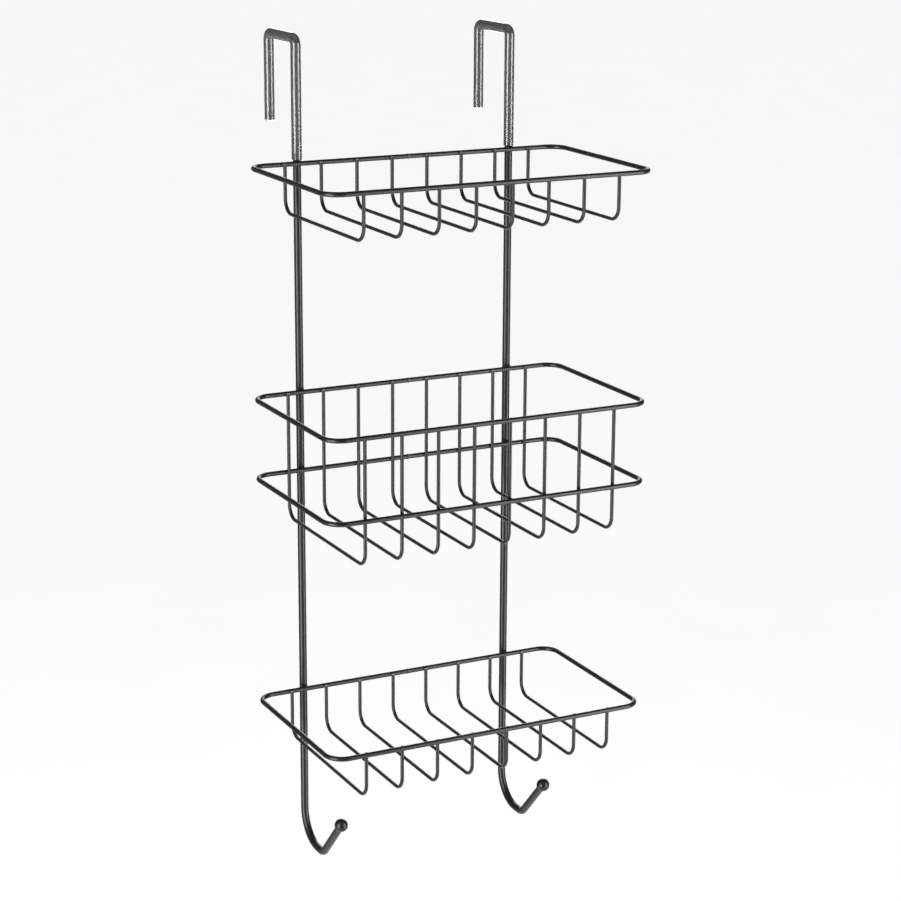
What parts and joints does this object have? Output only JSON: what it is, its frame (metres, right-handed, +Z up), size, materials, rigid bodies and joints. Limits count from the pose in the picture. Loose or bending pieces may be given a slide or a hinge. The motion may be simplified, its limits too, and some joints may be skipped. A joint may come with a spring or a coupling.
{
  "type": "over-door shower caddy",
  "caption": "Tall wire shower caddy that hangs over a door by sleeved hooks, with open-ended baskets stacked on bent rods and ball-tipped hooks below.",
  "frame": {"origin": "on the door's top edge, midway between the two hooks and midway through the door's thickness", "axes": "+X along the door to the right as seen from the basket side, +Y through the door to its far side, +Z up"},
  "size_m": [0.2536, 0.1981, 0.6141],
  "materials": {
    "coated_steel_wire": "dark gunmetal, satin to semi-gloss",
    "clear_soft_plastic": "clear gloss"
  },
  "bodies": {
    "root": {"top_rim": "coated_steel_wire", "middle_upper_rim": "coated_steel_wire", "middle_lower_rim": "coated_steel_wire", "bottom_rim": "coated_steel_wire", "top_rib_1": "coated_steel_wire", "top_rib_2": "coated_steel_wire", "top_rib_3": "coated_steel_wire", "top_rib_4": "coated_steel_wire", "top_rib_5": "coated_steel_wire", "top_rib_6": "coated_steel_wire", "top_rib_7": "coated_steel_wire", "top_rib_8": "coated_steel_wire", "middle_rib_1": "coated_steel_wire", "middle_rib_2": "coated_steel_wire", "middle_rib_3": "coated_steel_wire", "middle_rib_4": "coated_steel_wire", "middle_rib_5": "coated_steel_wire", "middle_rib_6": "coated_steel_wire", "middle_rib_7": "coated_steel_wire", "middle_rib_8": "coated_steel_wire", "bottom_rib_1": "coated_steel_wire", "bottom_rib_2": "coated_steel_wire", "bottom_rib_3": "coated_steel_wire", "bottom_rib_4": "coated_steel_wire", "bottom_rib_5": "coated_steel_wire", "bottom_rib_6": "coated_steel_wire", "bottom_rib_7": "coated_steel_wire", "bottom_rib_8": "coated_steel_wire", "left_upright": "coated_steel_wire", "right_upright": "coated_steel_wire", "left_ball_end": "coated_steel_wire", "right_ball_end": "coated_steel_wire", "left_sleeve": "clear_soft_plastic", "right_sleeve": "clear_soft_plastic"}
  },
  "joints": []
}
